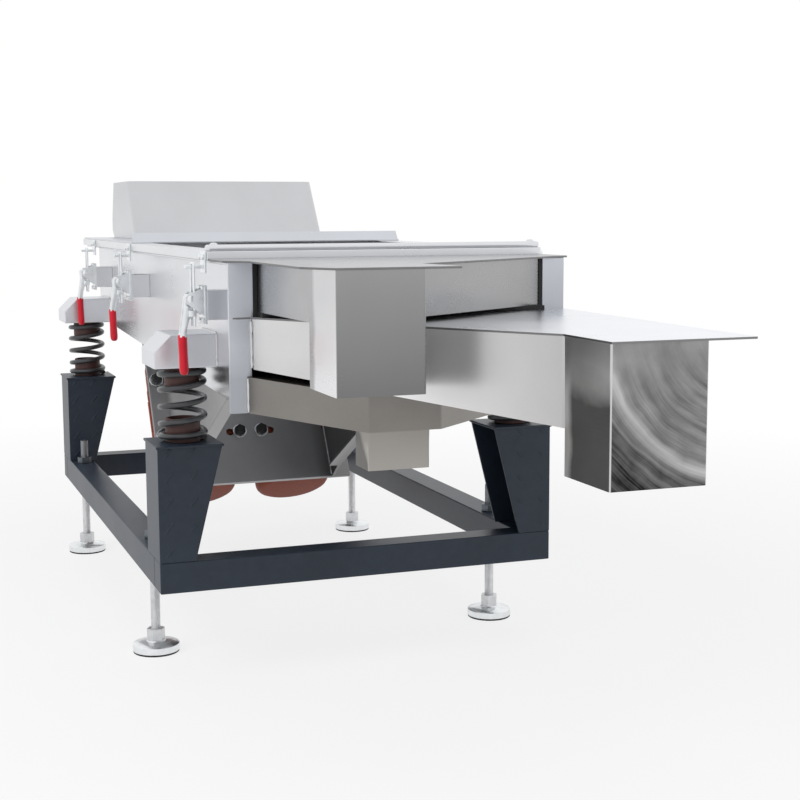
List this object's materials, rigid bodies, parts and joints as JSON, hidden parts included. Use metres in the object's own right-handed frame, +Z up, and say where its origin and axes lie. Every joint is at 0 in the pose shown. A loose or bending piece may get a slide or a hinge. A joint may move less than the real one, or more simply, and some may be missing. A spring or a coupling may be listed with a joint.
{
  "type": "vibrating sieve",
  "caption": "Linear vibrating sieve: stainless screening deck with hopper and stacked side-by-side outlet spouts, on coil springs over a painted base, shaken by sloping motors.",
  "frame": {"origin": "on the floor, at the middle of the overall length and width", "axes": "+Y from the outlet spouts to the feed hopper, +X to the right seen from the outlet end, +Z up"},
  "size_m": [0.706, 1.95, 0.82],
  "materials": {
    "stainless": "matt sheet with grain and swirl marks",
    "frame_paint": "dark blue-grey satin paint",
    "guide_paint": "red-brown primer",
    "spring_steel": "dark coated spring wire",
    "zinc": "zinc plated",
    "seal": "black rubber strip",
    "motor_paint": "terracotta paint",
    "bolt": "black oxide"
  },
  "bodies": {
    "base": {"side_beams": "frame_paint", "cross_beams": "frame_paint", "pillars_left": "frame_paint", "pillars_right": "frame_paint", "lower_guides": "guide_paint", "foot_nuts": "zinc", "springs": "spring_steel"},
    "foot_front_left": {"foot_pad_front_left": "zinc", "foot_stud_front_left": "zinc"},
    "foot_rear_left": {"foot_pad_rear_left": "zinc", "foot_stud_rear_left": "zinc"},
    "foot_front_right": {"foot_pad_front_right": "zinc", "foot_stud_front_right": "zinc"},
    "foot_rear_right": {"foot_pad_rear_right": "zinc", "foot_stud_rear_right": "zinc"},
    "rotor_left": {"rotor_left": "zinc"},
    "rotor_right": {"rotor_right": "zinc"},
    "handle_front_left": {"handle_front_left": "zinc"},
    "pull_bow_front_left": {"pull_bow_front_left": "zinc"},
    "handle_mid_left": {"handle_mid_left": "zinc"},
    "pull_bow_mid_left": {"pull_bow_mid_left": "zinc"},
    "handle_rear_left": {"handle_rear_left": "zinc"},
    "pull_bow_rear_left": {"pull_bow_rear_left": "zinc"},
    "handle_front_right": {"handle_front_right": "zinc"},
    "pull_bow_front_right": {"pull_bow_front_right": "zinc"},
    "handle_mid_right": {"handle_mid_right": "zinc"},
    "pull_bow_mid_right": {"pull_bow_mid_right": "zinc"},
    "handle_rear_right": {"handle_rear_right": "zinc"},
    "pull_bow_rear_right": {"pull_bow_rear_right": "zinc"},
    "deck": {"side_wall_left": "stainless", "side_wall_right": "stainless", "rear_wall": "stainless", "pan": "stainless", "front_flanges": "stainless", "brackets_left": "stainless", "brackets_right": "stainless", "upper_screen_frame": "stainless", "upper_screen_mesh": "stainless", "lower_screen_frame": "stainless", "lower_screen_mesh": "stainless", "upper_chute": "stainless", "upper_lid": "stainless", "mid_chute": "stainless", "mid_lid": "stainless", "lower_chute": "stainless", "press_frame": "stainless", "feed_cover": "stainless", "hopper": "stainless", "mount_sides": "stainless", "motor_plate": "stainless", "clamp_standoffs": "stainless", "latch_hooks": "stainless", "clamp_bases": "stainless", "upper_guides": "guide_paint", "chute_seal": "seal", "motor_case_left": "motor_paint", "motor_case_right": "motor_paint", "motor_covers": "motor_paint", "motor_bolts": "bolt"}
  },
  "joints": [
    {"name": "deck_throw", "type": "slide", "parent": "base", "child": "deck", "axis": [0, -0.8526, 0.5225], "range_m": [-0.005, 0.005], "stiffness_N_per_m": 75000, "springref_m": 0.01469, "deforming": ["springs"]},
    {"name": "rotor_left_spin", "type": "hinge", "parent": "deck", "child": "rotor_left", "pos_m": [-0.1044, 0.65324, 0.28935], "axis": [0, 0.5225, 0.8526], "continuous": true},
    {"name": "rotor_right_spin", "type": "hinge", "parent": "deck", "child": "rotor_right", "pos_m": [0.1044, 0.65324, 0.28935], "axis": [0, 0.5225, 0.8526], "continuous": true},
    {"name": "handle_front_left_turn", "type": "hinge", "parent": "deck", "child": "handle_front_left", "pos_m": [-0.3, -0.29, 0.622], "axis": [0, 1, 0], "range_deg": [0, 140]},
    {"name": "pull_bow_front_left_turn", "type": "hinge", "parent": "handle_front_left", "child": "pull_bow_front_left", "pos_m": [-0.299, -0.29, 0.6], "axis": [0, 1, 0], "range_deg": [-140, 0]},
    {"name": "handle_mid_left_turn", "type": "hinge", "parent": "deck", "child": "handle_mid_left", "pos_m": [-0.3, 0.36, 0.622], "axis": [0, 1, 0], "range_deg": [0, 140]},
    {"name": "pull_bow_mid_left_turn", "type": "hinge", "parent": "handle_mid_left", "child": "pull_bow_mid_left", "pos_m": [-0.299, 0.36, 0.6], "axis": [0, 1, 0], "range_deg": [-140, 0]},
    {"name": "handle_rear_left_turn", "type": "hinge", "parent": "deck", "child": "handle_rear_left", "pos_m": [-0.3, 0.801, 0.622], "axis": [0, 1, 0], "range_deg": [0, 140]},
    {"name": "pull_bow_rear_left_turn", "type": "hinge", "parent": "handle_rear_left", "child": "pull_bow_rear_left", "pos_m": [-0.299, 0.801, 0.6], "axis": [0, 1, 0], "range_deg": [-140, 0]},
    {"name": "handle_front_right_turn", "type": "hinge", "parent": "deck", "child": "handle_front_right", "pos_m": [0.3, -0.29, 0.622], "axis": [0, -1, 0], "range_deg": [0, 140]},
    {"name": "pull_bow_front_right_turn", "type": "hinge", "parent": "handle_front_right", "child": "pull_bow_front_right", "pos_m": [0.299, -0.29, 0.6], "axis": [0, -1, 0], "range_deg": [-140, 0]},
    {"name": "handle_mid_right_turn", "type": "hinge", "parent": "deck", "child": "handle_mid_right", "pos_m": [0.3, 0.36, 0.622], "axis": [0, -1, 0], "range_deg": [0, 140]},
    {"name": "pull_bow_mid_right_turn", "type": "hinge", "parent": "handle_mid_right", "child": "pull_bow_mid_right", "pos_m": [0.299, 0.36, 0.6], "axis": [0, -1, 0], "range_deg": [-140, 0]},
    {"name": "handle_rear_right_turn", "type": "hinge", "parent": "deck", "child": "handle_rear_right", "pos_m": [0.3, 0.801, 0.622], "axis": [0, -1, 0], "range_deg": [0, 140]},
    {"name": "pull_bow_rear_right_turn", "type": "hinge", "parent": "handle_rear_right", "child": "pull_bow_rear_right", "pos_m": [0.299, 0.801, 0.6], "axis": [0, -1, 0], "range_deg": [-140, 0]},
    {"name": "foot_front_left_screw", "type": "slide", "parent": "base", "child": "foot_front_left", "axis": [0, 0, -1], "range_m": [-0.04, 0.03]},
    {"name": "foot_rear_left_screw", "type": "slide", "parent": "base", "child": "foot_rear_left", "axis": [0, 0, -1], "range_m": [-0.04, 0.03]},
    {"name": "foot_front_right_screw", "type": "slide", "parent": "base", "child": "foot_front_right", "axis": [0, 0, -1], "range_m": [-0.04, 0.03]},
    {"name": "foot_rear_right_screw", "type": "slide", "parent": "base", "child": "foot_rear_right", "axis": [0, 0, -1], "range_m": [-0.04, 0.03]}
  ],
  "couplings": [
    {"joint": "rotor_right_spin", "follows": "rotor_left_spin", "ratio": -1},
    {"joint": "pull_bow_front_left_turn", "follows": "handle_front_left_turn", "ratio": -1},
    {"joint": "pull_bow_mid_left_turn", "follows": "handle_mid_left_turn", "ratio": -1},
    {"joint": "pull_bow_rear_left_turn", "follows": "handle_rear_left_turn", "ratio": -1},
    {"joint": "pull_bow_front_right_turn", "follows": "handle_front_right_turn", "ratio": -1},
    {"joint": "pull_bow_mid_right_turn", "follows": "handle_mid_right_turn", "ratio": -1},
    {"joint": "pull_bow_rear_right_turn", "follows": "handle_rear_right_turn", "ratio": -1}
  ]
}
